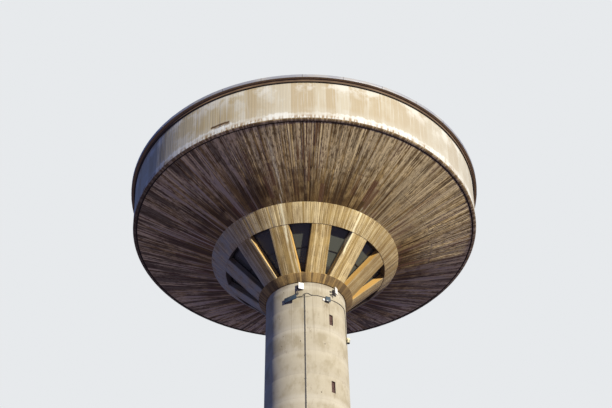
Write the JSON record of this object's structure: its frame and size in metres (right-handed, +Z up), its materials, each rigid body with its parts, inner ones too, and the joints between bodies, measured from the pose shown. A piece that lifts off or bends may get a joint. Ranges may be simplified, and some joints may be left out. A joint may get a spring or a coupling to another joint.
{
  "type": "water tower",
  "caption": "Reinforced-concrete water tower: hollow round shaft with slit windows, ribbed and glazed conical neck, and a wide shallow drum tank with a dark conical underside.",
  "frame": {"origin": "middle of the shaft's foot, at ground level", "axes": "+Z up along the tower's axis; -Y is the side seen in the picture, +X is to its right"},
  "size_m": [20.8578, 20.8578, 39.1409],
  "materials": {
    "shaft_concrete": "cream limewashed concrete, board-marked",
    "wall_concrete": "beige concrete in upright form boards, with pale lime bloom low down",
    "rib_concrete": "tan painted concrete",
    "collar_concrete": "brown weathered concrete",
    "underside_concrete": "dark brown painted concrete with pale run marks",
    "edge_concrete": "brown painted concrete",
    "roof_concrete": "grey weathered concrete",
    "window_frame": "dark painted steel, matt",
    "window_glass": "dusty grey-green glass",
    "roof_sheet": "dull grey-white sheet metal",
    "door_paint": "grey-green gloss paint, worn",
    "light_housing": "dark blue-grey powder coat",
    "aerial_shell": "white weatherproof plastic",
    "lamp_shell": "pale yellow lamp glass in a white housing",
    "cable_sheath": "dark sheathed cable and conduit"
  },
  "bodies": {
    "root": {"foot_slab": "shaft_concrete", "shaft_wall_1": "shaft_concrete", "shaft_wall_2": "shaft_concrete", "shaft_wall_3": "shaft_concrete", "shaft_wall_4": "shaft_concrete", "shaft_wall_5": "shaft_concrete", "shaft_wall_6": "shaft_concrete", "shaft_wall_7": "shaft_concrete", "shaft_wall_8": "shaft_concrete", "shaft_wall_9": "shaft_concrete", "door_frame": "door_paint", "door_leaf": "door_paint", "collar": "collar_concrete", "neck_floor": "shaft_concrete", "rib_01": "rib_concrete", "rib_02": "rib_concrete", "rib_03": "rib_concrete", "rib_04": "rib_concrete", "rib_05": "rib_concrete", "rib_06": "rib_concrete", "rib_07": "rib_concrete", "rib_08": "rib_concrete", "rib_09": "rib_concrete", "rib_10": "rib_concrete", "rib_11": "rib_concrete", "rib_12": "rib_concrete", "neck_window_frame": "window_frame", "neck_glazing": "window_glass", "ring_beam": "rib_concrete", "tank_floor": "shaft_concrete", "tank_bottom": "underside_concrete", "edge_ring": "edge_concrete", "tank_wall": "wall_concrete", "cornice": "edge_concrete", "roof_slab": "roof_concrete", "roof_flashing": "roof_sheet", "roof_hatch": "roof_sheet", "roof_vent": "roof_sheet", "down_conductor": "cable_sheath", "floodlight_left": "light_housing", "floodlight_right": "light_housing", "aerial_left": "aerial_shell", "aerial_right": "aerial_shell", "light_cable": "cable_sheath", "side_lamp": "lamp_shell"}
  },
  "joints": []
}
